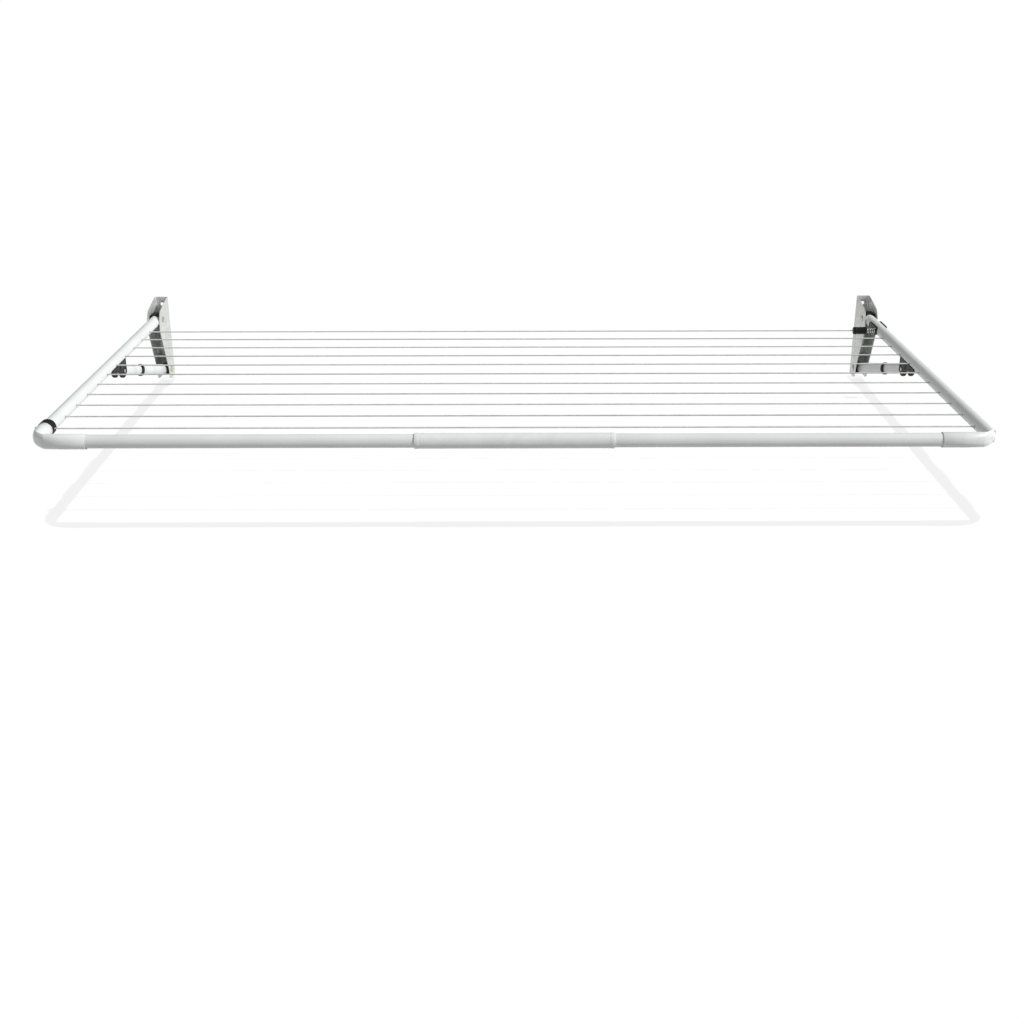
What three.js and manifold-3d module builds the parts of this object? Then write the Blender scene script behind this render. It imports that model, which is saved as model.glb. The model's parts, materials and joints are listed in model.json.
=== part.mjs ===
// Wall-mounted folding clothes frame, in millimetres, +Z up, +X along the front rail, +Y into the wall.
// The origin is on the wall, midway between the two brackets, at the height of the upper pivots.
// Two folded-steel brackets carry two arms on pins. A front rail in two halves joins the arms through
// moulded corners, and one cord is threaded through both arms eleven times. A stay under each arm pivots
// low on its bracket and holds the arm up through a slider that runs in a slot under the arm.
import * as THREE from 'three';
import { mergeVertices } from 'three/addons/utils/BufferGeometryUtils.js';
import Module from 'manifold-3d';

const wasm = await Module();
wasm.setup();

// ---- Driving dimensions ----
const GAP = 0.3; // running gap between neighbouring pieces
const SIDES = 28; // facets round a tube
const ARM_X = 1104; // distance of each arm's axis from the middle
const TUBE = { outer: 16, inner: 14.5 }; // radii of the arm, rail and outer stay tubes
const RAIL_Y = -1242; // axis of the front rail
const FOLD = { y: -84, z: 0 }; // upper pivot, where the arm turns
const HEEL = { y: -37.5, z: -171.5 }; // lower pivot, where the stay turns
const FORK = { y: -534, z: -34.6 }; // top end of the stay, in the slider's slot
const LINE = {
  first: -236.5, pitch: 91, count: 11, radius: 1.8, hole: 3, turn: 4, standOff: 0.6, knot: 4.6,
};
const PIN = { radius: 5, head: 9, headLength: 2.6, clinch: 7, clinchLength: 1.6 };
const FORK_PIN = 4; // radius of the pin through the slider's lobes
const SLIDE_TRAVEL = 236.4; // how far the slider runs along the arm when the frame hangs down

const BRACKET = {
  half: 19.5,
  sheet: 1.6,
  webEnd: -184,
  anchorHole: 5.5,
  anchorZ: [30, -125],
  profile: [ // y, z and rounding; the lower front edge stays clear of the tensioner's spring when folded
    [0, 53, 1], [-16, 53, 5], [-118, 30, 22], [-131, -20, 26], [-66, -168, 24], [-64, -198, 18],
    [0, -198, 16]],
};
const ARM = { back: -102, leftFront: -1180 }; // wall end of both tubes, and the left one's end in its corner
const EYE = { radius: 18.7, half: 15.5, round: 22, spigot: 14.2, armTail: 14 }; // moulded pivot eyes
const CORNER = { radius: 18, bore: 16.3, bend: 23, railEnd: 982, legEnd: -1157, plug: 32, plan: 80 };
const RAIL = { inner: 4, outer: 1020 }; // ends of each rail tube, from the middle
const SEAL = { radius: 19.4, back: -1133, front: -1156.7 }; // ring round the left arm behind the corner
const SLEEVE = { radius: 18.5, half: 230 };
const OVAL = 6.5; // the stays are oval tubes: how much half their height exceeds half their width
const STAY = { // half widths of both tubes, and their ends from the heel pin
  tubeStart: 17, tubeEnd: 298, rodStart: 200, rodEnd: 466, tube: 9.5, tubeBore: 8, rod: 7, rodBore: 5.5,
};
const COLLAR = { start: 286, end: 302, half: 11.5 };
const TONGUE = { half: 11.5, flange: 4, plug: 30 };
const SLIDER = {
  half: 17.5,
  back: -512,
  front: -645,
  slot: 4,
  lobe: 19.5,
  lobeDrop: 0.4, // the lobes' axis below the fork
  profile: [[-512, -4, 2], [-512, -46, 4], [-560, -33, 8], [-645, -11, 3], [-645, -4, 2]],
  head: { half: 8, low: -11.4, high: -6.5 }, // runs inside the arm, on a neck through the slot
  neckLow: -17,
};
const BUTTON = { y: -600, radius: 5, low: -27, high: -22, well: -18.4 };
const GRIP = { start: 1021, end: 1060, radius: 11.3, bore: 2.3, cavity: 7.8, cavityDepth: 12 };
const HOUSING = { back: -165, front: -252, half: 10, flange: 11.5, proud: 17.6, insertEnd: 9.8, neck: 4.5 };
const CAP = { back: -161, front: -243, half: 12.5, seat: 8 }; // saddle that closes the outer side of the arm
const SPRING = { start: 1060.4, end: 1095.6, radius: 6.4, wire: 0.9, turns: 6, recess: 8.4 };

// ---- Materials ----
const finish = (color, roughness, metalness) =>
  new THREE.MeshStandardMaterial({ color, roughness, metalness });
const powderCoat = finish('#e6eae8', 0.45, 0);
const galvanised = finish('#b9bbb8', 0.5, 0.7);
const blackNylon = finish('#17191a', 0.55, 0);
const whiteNylon = finish('#e9edeb', 0.4, 0);
const cordVinyl = finish('#d9dbda', 0.5, 0);
const springSteel = finish('#b8bab6', 0.3, 0.9);
const zincPlate = finish('#b9b184', 0.4, 0.8);

const group = new THREE.Group();

// ---- Solids ----

// A closed geometry as a solid for cutting and joining, with its faces turned outwards.
function solid(geometry) {
  const bare = geometry.clone();
  bare.deleteAttribute('normal');
  bare.deleteAttribute('uv');
  const merged = mergeVertices(bare, 1e-4);
  const at = merged.getAttribute('position');
  const corner = [new THREE.Vector3(), new THREE.Vector3(), new THREE.Vector3()];
  const faces = [];
  let volume = 0;
  for (let i = 0; i < merged.index.count; i += 3) {
    const face = [0, 1, 2].map((k) => merged.index.getX(i + k));
    if (new Set(face).size < 3) continue;
    face.forEach((vertex, k) => corner[k].fromBufferAttribute(at, vertex));
    volume += corner[0].dot(corner[1].clone().cross(corner[2]));
    faces.push(face);
  }
  const outward = volume < 0 ? faces.map((face) => face.reverse()) : faces;
  const triVerts = Uint32Array.from(outward.flat());
  return new wasm.Manifold(new wasm.Mesh({ numProp: 3, vertProperties: at.array, triVerts }));
}

// Adds one finished body to the group, moved by the given offset.
function place(name, body, material, x = 0) {
  const { vertProperties, triVerts } = body.getMesh();
  const geometry = new THREE.BufferGeometry();
  geometry.setAttribute('position', new THREE.BufferAttribute(vertProperties, 3));
  geometry.setIndex(new THREE.BufferAttribute(triVerts, 1));
  const mesh = new THREE.Mesh(geometry.toNonIndexed(), material);
  mesh.geometry.computeVertexNormals();
  mesh.name = name;
  mesh.position.x = x;
  group.add(mesh);
}

// Turns a geometry made about the Y axis so that it lies along the named axis.
function along(geometry, axis) {
  if (axis === 'x') geometry.rotateZ(-Math.PI / 2);
  if (axis === 'z') geometry.rotateX(Math.PI / 2);
  return geometry;
}

// A body turned about an axis through `at`, from [radius, distance] pairs that close on themselves.
function turned(profile, axis, at = [0, 0, 0], segments = SIDES) {
  const points = [...profile, profile[0]].map(([r, h]) => new THREE.Vector2(r, h));
  return solid(along(new THREE.LatheGeometry(points, segments), axis).translate(...at));
}

// A round bar or a tube between two distances along an axis.
function rod(radius, from, to, axis, at = [0, 0, 0], segments = SIDES) {
  return turned([[0, from], [radius, from], [radius, to], [0, to]], axis, at, segments);
}
function tube(outer, inner, from, to, axis, at = [0, 0, 0], segments = SIDES) {
  return turned([[inner, from], [outer, from], [outer, to], [inner, to]], axis, at, segments);
}

// A rectangular block between two corners.
function block([x0, y0, z0], [x1, y1, z1]) {
  const box = new THREE.BoxGeometry(x1 - x0, y1 - y0, z1 - z0);
  return solid(box.translate((x0 + x1) / 2, (y0 + y1) / 2, (z0 + z1) / 2));
}

// An outline in the Y-Z plane whose corners [y, z, rounding] are eased by curves.
function outline(corners) {
  const points = corners.map(([y, z]) => new THREE.Vector2(y, z));
  const shape = new THREE.Shape();
  corners.forEach(([, , rounding], i) => {
    const here = points[i];
    const before = points.at(i - 1).clone().sub(here).setLength(rounding).add(here);
    const after = points[(i + 1) % points.length].clone().sub(here).setLength(rounding).add(here);
    if (i === 0) shape.moveTo(before.x, before.y);
    else shape.lineTo(before.x, before.y);
    shape.quadraticCurveTo(here.x, here.y, after.x, after.y);
  });
  shape.closePath();
  return shape;
}

// A flat outline in the Y-Z plane, given thickness along X.
function plate(shape, from, to) {
  const flat = new THREE.ExtrudeGeometry(shape, { depth: to - from, bevelEnabled: false, curveSegments: 5 });
  const upright = new THREE.Matrix4().makeBasis(
    new THREE.Vector3(0, 1, 0), new THREE.Vector3(0, 0, 1), new THREE.Vector3(1, 0, 0));
  return solid(flat.applyMatrix4(upright).translate(from, 0, 0));
}

// A long hole or boss with round ends, along Y, through X.
function stadium(y0, y1, half, from, to) {
  const shape = new THREE.Shape();
  shape.absarc(y1 - half, 0, half, -Math.PI / 2, Math.PI / 2, false);
  shape.absarc(y0 + half, 0, half, Math.PI / 2, Math.PI * 1.5, false);
  return plate(shape, from, to);
}

// An oval bar along Y that stands upright, given half its width.
function ovalBar(half, from, to) {
  return rod(half + OVAL, from, to, 'y').scale([half / (half + OVAL), 1, 1]);
}

// A round bar swept along a curve.
function swept(curve, radius, steps, segments) {
  const section = new THREE.Shape().absarc(0, 0, radius, 0, Math.PI * 2, false);
  const options = { steps, extrudePath: curve, bevelEnabled: false, curveSegments: segments };
  return solid(new THREE.ExtrudeGeometry(section, options));
}

// A quarter bend in the X-Y plane about a centre, from one angle to another.
class Bend extends THREE.Curve {
  constructor(x, y, radius, from, to) {
    super();
    Object.assign(this, { x, y, radius, from, to });
  }

  getPoint(t, target = new THREE.Vector3()) {
    const angle = this.from + (this.to - this.from) * t;
    return target.set(this.x + this.radius * Math.cos(angle), this.y + this.radius * Math.sin(angle), 0);
  }
}

// A helix along X.
class Coil extends THREE.Curve {
  getPoint(t, target = new THREE.Vector3()) {
    const angle = t * SPRING.turns * Math.PI * 2;
    const x = SPRING.start + SPRING.wire + (SPRING.end - SPRING.start - 2 * SPRING.wire) * t;
    return target.set(x, LINE.first + SPRING.radius * Math.cos(angle), SPRING.radius * Math.sin(angle));
  }
}

const lineY = (index) => LINE.first - LINE.pitch * index;

// ---- Wall brackets and their pins ----

// A channel folded from sheet: a web on the wall and two cheeks that hold the pins.
function bracket() {
  const inside = BRACKET.half - BRACKET.sheet;
  let body = plate(outline(BRACKET.profile), -BRACKET.half, BRACKET.half)
    .subtract(block([-inside, -200, -260], [inside, -BRACKET.sheet, 100]))
    .subtract(block([-inside, -200, -260], [inside, 5, BRACKET.webEnd]));
  for (const { y, z } of [FOLD, HEEL]) {
    body = body.subtract(rod(PIN.radius + GAP, -40, 40, 'x', [0, y, z]));
  }
  for (const z of BRACKET.anchorZ) {
    body = body.subtract(rod(BRACKET.anchorHole, -20, 20, 'y', [0, 0, z]));
  }
  return body;
}

// A headed pin through both cheeks, clinched on the outer side of the frame.
function pivotPin({ y, z }, side) {
  const face = BRACKET.half + GAP;
  const top = -face - PIN.headLength;
  const tail = face + PIN.clinchLength;
  const shape = [
    [0, top], [PIN.head - 1, top], [PIN.head, top + 1.2], [PIN.head, -face], [PIN.radius, -face],
    [PIN.radius, face], [PIN.clinch, face], [PIN.clinch - 0.6, tail], [0, tail]];
  return turned(shape.map(([r, x]) => [r, x * side]), 'x', [0, y, z], 24);
}

// ---- Arms ----

// The moulded eye at the wall end of an arm or a stay: a round-ended lug on the pin, plugged into the tube.
function pivotEye(tubeFrom, tail, plug) {
  const lug = new THREE.Shape();
  lug.moveTo(tubeFrom + GAP, -EYE.radius);
  lug.lineTo(tail, -EYE.radius);
  lug.absarc(tail, 0, EYE.radius, -Math.PI / 2, Math.PI / 2, false);
  lug.lineTo(tubeFrom + GAP, EYE.radius);
  lug.closePath();
  return plate(lug, -EYE.half, EYE.half)
    .intersect(rod(EYE.round, tubeFrom, tail + EYE.radius + 1, 'y'))
    .add(plug)
    .subtract(rod(PIN.radius + GAP, -30, 30, 'x'));
}

// One arm tube: cord holes through both walls and a slot underneath for the slider.
function arm(side) {
  const end = side < 0 ? ARM.leftFront : RAIL_Y + CORNER.bend + GAP;
  let body = tube(TUBE.outer, TUBE.inner, end, ARM.back, 'y');
  for (let i = side < 0 ? 0 : 1; i < LINE.count; i += 1) {
    body = body.subtract(rod(LINE.hole, -20, 20, 'x', [0, lineY(i), 0], 12));
  }
  if (side > 0) {
    const { front, back, half, neck } = HOUSING;
    body = body.subtract(stadium(front, back, half + GAP, -30, 0))
      .subtract(stadium(front + 0.5, back - 0.5, neck + GAP, 0, 30));
  }
  const slotEnd = SLIDER.front - SLIDE_TRAVEL - 2;
  return body.subtract(block([-SLIDER.slot, slotEnd, -20], [SLIDER.slot, SLIDER.back - 2, -10]));
}

// ---- Front rail ----

// A moulded corner: a bend with a socket for the rail and a socket or a plug for the arm.
function corner(side) {
  const centreX = side * (ARM_X - CORNER.bend);
  const centreY = RAIL_Y + CORNER.bend;
  const armSide = side < 0 ? Math.PI : 0;
  const bend = new Bend(centreX, centreY, CORNER.bend, armSide, side < 0 ? Math.PI * 1.5 : -Math.PI / 2);
  const railAt = [0, RAIL_Y, 0];
  const armAt = [side * ARM_X, 0, 0];
  const span = (from, to) => [side * from, side * to].sort((a, b) => a - b);
  let body = swept(bend, CORNER.radius, 10, SIDES / 2)
    .add(rod(CORNER.radius, ...span(CORNER.railEnd, ARM_X - CORNER.bend + 0.2), 'x', railAt));
  body = side < 0
    ? body.add(rod(CORNER.radius, centreY - 0.2, CORNER.legEnd, 'y', armAt))
      .subtract(rod(CORNER.bore, ARM.leftFront - 1, CORNER.legEnd + 10, 'y', armAt))
    : body.add(rod(EYE.spigot, centreY - 10, centreY + CORNER.plug, 'y', armAt));
  // Seen from above, the outside of the bend is rounded off more widely than its inside.
  const [planX, planY] = [ARM_X + CORNER.radius - CORNER.plan, RAIL_Y - CORNER.radius + CORNER.plan];
  const [railLow, railHigh] = span(CORNER.railEnd - 1, planX);
  const [armLow, armHigh] = span(planX, ARM_X + CORNER.radius + 1);
  const within = rod(CORNER.plan, -20, 20, 'z', [side * planX, planY, 0], 64)
    .add(block([railLow, RAIL_Y - 20, -20], [railHigh, planY, 20]))
    .add(block([armLow, planY, -20], [armHigh, CORNER.legEnd + 10, 20]));
  return body.intersect(within)
    .subtract(rod(CORNER.bore, ...span(CORNER.railEnd - 10, RAIL.outer + 1), 'x', railAt));
}

// ---- Cord ----

// The cord's route, whose steps follow its own points: long on the straights and short in the turns.
class Route extends THREE.Curve {
  constructor(points) {
    super();
    this.points = points;
  }

  getPoint(t, target = new THREE.Vector3()) {
    const place = t * (this.points.length - 1);
    const before = Math.min(Math.floor(place), this.points.length - 2);
    return target.lerpVectors(this.points[before], this.points[before + 1], place - before);
  }

  getUtoTmapping(u) {
    return u;
  }
}

// One cord threaded to and fro through both arms, along the outside of an arm between two holes.
function cord() {
  const { turn, knot } = LINE;
  const outside = ARM_X + TUBE.outer + LINE.radius + LINE.standOff;
  const knotX = -ARM_X - SEAL.radius - knot + GAP;
  const turnSteps = 3;
  const points = [new THREE.Vector3(GRIP.end - 14, LINE.first, 0)];
  for (let i = 1; i < LINE.count; i += 1) {
    const side = i % 2 ? -1 : 1;
    const x = side * (outside - turn);
    for (const [y, start] of [[lineY(i - 1) - turn, Math.PI / 2], [lineY(i) + turn, 0]]) {
      for (let step = 0; step <= turnSteps; step += 1) {
        const angle = start - (Math.PI / 2) * (step / turnSteps);
        points.push(new THREE.Vector3(x + side * turn * Math.cos(angle), y + turn * Math.sin(angle), 0));
      }
    }
  }
  points.push(new THREE.Vector3(knotX, lineY(LINE.count - 1), 0));
  const ball = new THREE.SphereGeometry(knot, 12, 8);
  return swept(new Route(points), LINE.radius, points.length - 1, 4)
    .add(solid(ball.translate(knotX, lineY(LINE.count - 1), 0)));
}

// ---- Line tensioner on the right arm ----

// The insert that passes through the arm, holds the spring and meets the cap on a narrow neck.
function tensionerHousing() {
  const { back, front, half, flange, proud, insertEnd, neck } = HOUSING;
  const face = ARM_X - proud;
  return stadium(front + GAP, back - GAP, half, face + 0.6, ARM_X + insertEnd)
    .add(stadium(front - 1.5, back + 1.5, flange, face, ARM_X)
      .subtract(rod(TUBE.outer + GAP, front - 9, back + 9, 'y', [ARM_X, 0, 0])))
    .add(stadium(front + 1, back - 1, neck, ARM_X + insertEnd - 1, ARM_X + TUBE.outer - 0.8))
    .subtract(rod(SPRING.recess, face - 1, SPRING.end + GAP, 'x', [0, LINE.first, 0]));
}

// The saddle on the outer side of the arm.
function tensionerCap() {
  return stadium(CAP.front, CAP.back, CAP.half, ARM_X + CAP.seat, ARM_X + HOUSING.proud)
    .subtract(rod(TUBE.outer + GAP, CAP.front - 9, CAP.back + 9, 'y', [ARM_X, 0, 0]));
}

// The round grip that the cord ends in, hollow at the back so that it can run over the spring.
function tensionerGrip() {
  const { start, end, radius, bore, cavity, cavityDepth } = GRIP;
  return turned([
    [bore, start], [radius - 2, start], [radius, start + 2], [radius, end - 2], [radius - 2, end],
    [cavity, end], [cavity, end - cavityDepth], [bore, end - cavityDepth]], 'x', [0, LINE.first, 0], 24);
}

// ---- Slider and stay ----

// The block that runs under the arm: a saddle, a head inside the slot and two lobes that straddle the stay.
function slider() {
  const { half, back, front, slot, head } = SLIDER;
  const lobe = rod(SLIDER.lobe, -half, half, 'x', [0, FORK.y, FORK.z - SLIDER.lobeDrop]);
  const headBack = back - 8;
  const headFront = front + 10;
  return plate(outline(SLIDER.profile), -half, half)
    .add(lobe)
    .subtract(rod(TUBE.outer + GAP, front - 5, back + 25, 'y'))
    .subtract(block([-slot, FORK.y - 28, -70], [slot, back + 20, -20]))
    .subtract(rod(BUTTON.radius + GAP, -40, BUTTON.well, 'z', [0, BUTTON.y, 0], 20))
    .add(block([-slot + GAP, headFront, SLIDER.neckLow], [slot - GAP, headBack, head.low + 1]))
    .add(block([-head.half, headFront, head.low], [head.half, headBack, head.high]));
}

// The button on the underside of the slider, pressed to free it.
function button() {
  const { radius, low, high, y } = BUTTON;
  const shape = [[0, low], [radius - 1, low], [radius, low + 1], [radius, high], [0, high]];
  return turned(shape, 'z', [0, y, 0], 20);
}

// The pin through the fork.
function forkPin() {
  return rod(FORK_PIN, -SLIDER.slot + GAP, SLIDER.slot - GAP, 'x', [0, FORK.y, FORK.z], 24);
}

// Stay pieces are made lying along -Y from the heel pin, then tilted up to the fork.
const stayTilt = Math.atan2(FORK.z - HEEL.z, HEEL.y - FORK.y);
const stayLength = Math.hypot(FORK.z - HEEL.z, HEEL.y - FORK.y);
const tilted = (body) => body.rotate([-stayTilt * 180 / Math.PI, 0, 0]).translate([0, HEEL.y, HEEL.z]);

// The flat tongue on top of the stay, with a plug in the thin tube.
function tongue() {
  const { half, flange, plug } = TONGUE;
  const tip = -stayLength - half;
  const root = -STAY.rodEnd - 1;
  const lug = outline([[tip, -half, 9], [tip, half, 9], [root, half, 1], [root, -half, 1]]);
  return plate(lug, -SLIDER.slot + GAP, SLIDER.slot - GAP)
    .add(ovalBar(STAY.rod - 0.5, -STAY.rodEnd - flange, -STAY.rodEnd - GAP))
    .add(ovalBar(STAY.rodBore - GAP, root, -STAY.rodEnd + plug))
    .subtract(rod(FORK_PIN + GAP, -10, 10, 'x', [0, -stayLength, 0], 24));
}

// The ring that caps the mouth of the wide tube and guides the thin one.
function collar() {
  const { start, end, half } = COLLAR;
  const lip = -STAY.tubeEnd - GAP;
  const sleeve = -STAY.tubeEnd + 30; // how far its inner sleeve reaches into the wide tube
  return ovalBar(half, -end, -start)
    .subtract(ovalBar(STAY.tube + GAP, lip, -start + 1))
    .add(ovalBar(STAY.tubeBore - GAP, lip - 1, sleeve))
    .subtract(ovalBar(STAY.rod + GAP, -end - 1, sleeve + 1));
}

// ---- Assembly ----

for (const [side, hand] of [[-1, 'left'], [1, 'right']]) {
  const x = side * ARM_X;
  place(`bracket_${hand}`, bracket(), galvanised, x);
  place(`arm_pin_${hand}`, pivotPin(FOLD, side), zincPlate, x);
  place(`stay_pin_${hand}`, pivotPin(HEEL, side), zincPlate, x);

  place(`arm_tube_${hand}`, arm(side), powderCoat, x);
  const armMouth = ARM.back - FOLD.y;
  const armPlug = rod(EYE.spigot, armMouth - 30, armMouth + 1, 'y');
  const armEye = pivotEye(armMouth, EYE.armTail, armPlug).translate([0, FOLD.y, FOLD.z]);
  place(`arm_eye_${hand}`, armEye, blackNylon, x);
  const [railFrom, railTo] = side < 0 ? [-RAIL.outer, -RAIL.inner] : [RAIL.inner, RAIL.outer];
  place(`rail_tube_${hand}`, tube(TUBE.outer, TUBE.inner, railFrom, railTo, 'x', [0, RAIL_Y, 0]), powderCoat);
  place(`corner_${hand}`, corner(side), whiteNylon);

  place(`slider_${hand}`, slider(), blackNylon, x);
  place(`release_button_${hand}`, button(), blackNylon, x);

  const stayPlug = ovalBar(STAY.tubeBore - GAP, -STAY.tubeStart - 26, -STAY.tubeStart + 1);
  place(`stay_eye_${hand}`, tilted(pivotEye(-STAY.tubeStart, 0, stayPlug)), blackNylon, x);
  const stayTube = ovalBar(STAY.tube, -STAY.tubeEnd, -STAY.tubeStart)
    .subtract(ovalBar(STAY.tubeBore, -STAY.tubeEnd - 1, -STAY.tubeStart + 1));
  place(`stay_tube_${hand}`, tilted(stayTube), powderCoat, x);
  place(`stay_collar_${hand}`, tilted(collar()), blackNylon, x);
  const stayRod = ovalBar(STAY.rod, -STAY.rodEnd, -STAY.rodStart)
    .subtract(ovalBar(STAY.rodBore, -STAY.rodEnd - 1, -STAY.rodStart + 1));
  place(`stay_rod_${hand}`, tilted(stayRod), powderCoat, x);
  place(`stay_tongue_${hand}`, tilted(tongue()), zincPlate, x);
  place(`fork_pin_${hand}`, forkPin(), zincPlate, x);
}

const lastHole = rod(LINE.hole, -30, 30, 'x', [0, lineY(LINE.count - 1), 0], 12);
const seal = tube(SEAL.radius, TUBE.outer + GAP, SEAL.front, SEAL.back, 'y').subtract(lastHole);
place('corner_seal_left', seal, blackNylon, -ARM_X);
const sleeve = tube(SLEEVE.radius, CORNER.bore, -SLEEVE.half, SLEEVE.half, 'x', [0, RAIL_Y, 0]);
place('rail_sleeve', sleeve, whiteNylon);
place('line_cord', cord(), cordVinyl);
place('tensioner_housing', tensionerHousing(), blackNylon);
place('tensioner_cap', tensionerCap(), blackNylon);
place('tensioner_spring', swept(new Coil(), SPRING.wire, SPRING.turns * 10, 3), springSteel);
place('tensioner_grip', tensionerGrip(), blackNylon);

export default group;
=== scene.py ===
"""The looks of a wall-mounted folding clothes frame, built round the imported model.

Lengths in this file are in millimetres in the row frame unless a name says otherwise: +X runs along the front
rail, +Y into the wall and +Z up. Meshes are written in metres.
"""
import json
import logging
import math
from collections.abc import Iterable, Sequence
from dataclasses import dataclass
from enum import Enum
from typing import Any

import bmesh
import bpy
from mathutils import Matrix, Vector


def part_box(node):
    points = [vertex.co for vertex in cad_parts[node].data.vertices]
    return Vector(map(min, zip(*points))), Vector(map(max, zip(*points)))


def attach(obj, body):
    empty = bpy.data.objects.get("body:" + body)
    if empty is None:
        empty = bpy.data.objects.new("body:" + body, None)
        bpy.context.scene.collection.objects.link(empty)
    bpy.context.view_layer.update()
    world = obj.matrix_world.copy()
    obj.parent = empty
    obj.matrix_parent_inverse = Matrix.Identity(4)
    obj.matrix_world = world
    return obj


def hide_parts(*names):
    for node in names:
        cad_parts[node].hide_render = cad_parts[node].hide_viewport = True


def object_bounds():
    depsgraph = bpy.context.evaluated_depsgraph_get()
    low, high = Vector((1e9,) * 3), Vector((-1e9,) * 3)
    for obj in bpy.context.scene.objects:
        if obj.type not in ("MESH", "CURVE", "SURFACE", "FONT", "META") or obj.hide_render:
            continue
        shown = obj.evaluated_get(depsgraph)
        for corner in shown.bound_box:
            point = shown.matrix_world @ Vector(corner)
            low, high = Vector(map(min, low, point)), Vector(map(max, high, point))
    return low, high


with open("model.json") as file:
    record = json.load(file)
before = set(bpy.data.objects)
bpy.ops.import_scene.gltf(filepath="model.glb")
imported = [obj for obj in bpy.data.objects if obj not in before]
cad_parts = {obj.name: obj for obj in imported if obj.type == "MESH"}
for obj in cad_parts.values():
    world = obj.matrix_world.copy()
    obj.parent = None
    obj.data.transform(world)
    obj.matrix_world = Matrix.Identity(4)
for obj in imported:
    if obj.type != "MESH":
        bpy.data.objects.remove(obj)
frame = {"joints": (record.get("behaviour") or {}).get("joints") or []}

CAD_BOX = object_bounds()
LOG = logging.getLogger("clothes_frame")
MM = 0.001
GAP = 0.3  # running gap between neighbouring pieces
ROUND = 64  # facets round a tube
Pair = tuple[float, float]


class Hand(Enum):
    """The two ends of the frame, as the sign of X."""

    LEFT = -1
    RIGHT = 1

    @property
    def word(self) -> str:
        """The hand as node names spell it."""
        return self.name.lower()


class Axis(Enum):
    """The direction that a turned or extruded form runs along."""

    X = "x"
    Y = "y"
    Z = "z"


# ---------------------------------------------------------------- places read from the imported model


def span(node: str) -> tuple[Vector, Vector]:
    """Gives the lowest and highest corner of a CAD node.

    Args:
        node: The node's name.

    Returns:
        Both corners, in millimetres.
    """
    low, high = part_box(node)
    return low / MM, high / MM


def pivot(joint: str) -> Vector:
    """Gives the place of a hinge, in millimetres."""
    found = next(row for row in frame["joints"] if row["name"] == joint)
    return Vector(found["pos_m"]) / MM


@dataclass(frozen=True)
class Layout:
    """The driving places of the frame."""

    arm_x: float
    rail_y: float
    tube: float
    fold: Vector
    heel: Vector
    fork: Vector
    lines: tuple[float, ...]

    @classmethod
    def read(cls) -> "Layout":
        """Works the places out from the CAD nodes and joints."""
        arm_low, arm_high = span("arm_tube_right")
        rail_low, rail_high = span("rail_tube_right")
        cord_low, cord_high = span("line_cord")
        pin_low, pin_high = span("fork_pin_right")
        count, cord = 11, Cord.radius
        back = cord_high.y - cord
        pitch = (back - (cord_low.y + Cord.knot_radius)) / (count - 1)
        return cls(
            arm_x=(arm_low.x + arm_high.x) / 2,
            rail_y=(rail_low.y + rail_high.y) / 2,
            tube=(arm_high.x - arm_low.x) / 2,
            fold=pivot("frame_fold"),
            heel=pivot("stay_swing_right"),
            fork=(pin_low + pin_high) / 2,
            lines=tuple(back - pitch * i for i in range(count)),
        )

    def arm(self, hand: Hand) -> float:
        """Gives the X of the arm on one side."""
        return hand.value * self.arm_x

    def tilt(self) -> float:
        """Gives the slope of the stays at rest, in radians."""
        return math.atan2(self.fork.z - self.heel.z, self.heel.y - self.fork.y)

    def stay_length(self) -> float:
        """Gives the distance from the heel pin to the fork."""
        return math.hypot(self.fork.z - self.heel.z, self.heel.y - self.fork.y)


# ---------------------------------------------------------------- forms


def form(name: str, points: Iterable[Vector], faces: Sequence[Sequence[int]]) -> bpy.types.Object:
    """Makes an object from points in millimetres.

    Args:
        name: The object's name.
        points: The mesh's corners.
        faces: Corner numbers of each face.

    Returns:
        The new object, in the scene.
    """
    mesh = bpy.data.meshes.new(name)
    mesh.from_pydata([tuple(point * MM) for point in points], [], faces)
    mesh.validate()
    made = bpy.data.objects.new(name, mesh)
    bpy.context.scene.collection.objects.link(made)
    return made


def loft(name: str, loops: Sequence[Sequence[Vector]], closed: bool = False) -> bpy.types.Object:
    """Skins a row of loops that have the same number of points.

    Args:
        name: The object's name.
        loops: The loops in order.
        closed: True where the last loop joins the first, False where both ends get a cap.

    Returns:
        A closed mesh with its faces outwards.
    """
    count = len(loops[0])
    rows = len(loops)
    faces: list[list[int]] = []
    for row in range(rows if closed else rows - 1):
        here, there = row * count, (row + 1) % rows * count
        for i in range(count):
            j = (i + 1) % count
            faces.append([here + i, here + j, there + j, there + i])
    if not closed:
        faces.append(list(range(count))[::-1])
        faces.append([(rows - 1) * count + i for i in range(count)])
    made = form(name, [point for loop in loops for point in loop], faces)
    return outward(made)


def outward(made: bpy.types.Object) -> bpy.types.Object:
    """Merges doubled corners and turns a closed mesh's faces outwards."""
    work = bmesh.new()
    work.from_mesh(made.data)
    bmesh.ops.remove_doubles(work, verts=work.verts, dist=1e-7)
    bmesh.ops.dissolve_degenerate(work, edges=work.edges, dist=1e-8)
    bmesh.ops.recalc_face_normals(work, faces=work.faces)
    if work.calc_volume(signed=True) < 0:
        bmesh.ops.reverse_faces(work, faces=work.faces)
    work.to_mesh(made.data)
    work.free()
    return made


def lay(axis: Axis, along: float, across: float, up: float) -> Vector:
    """Places a point given along an axis and across it in the two other directions."""
    if axis is Axis.X:
        return Vector((along, across, up))
    if axis is Axis.Y:
        return Vector((across, along, up))
    return Vector((across, up, along))


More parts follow.
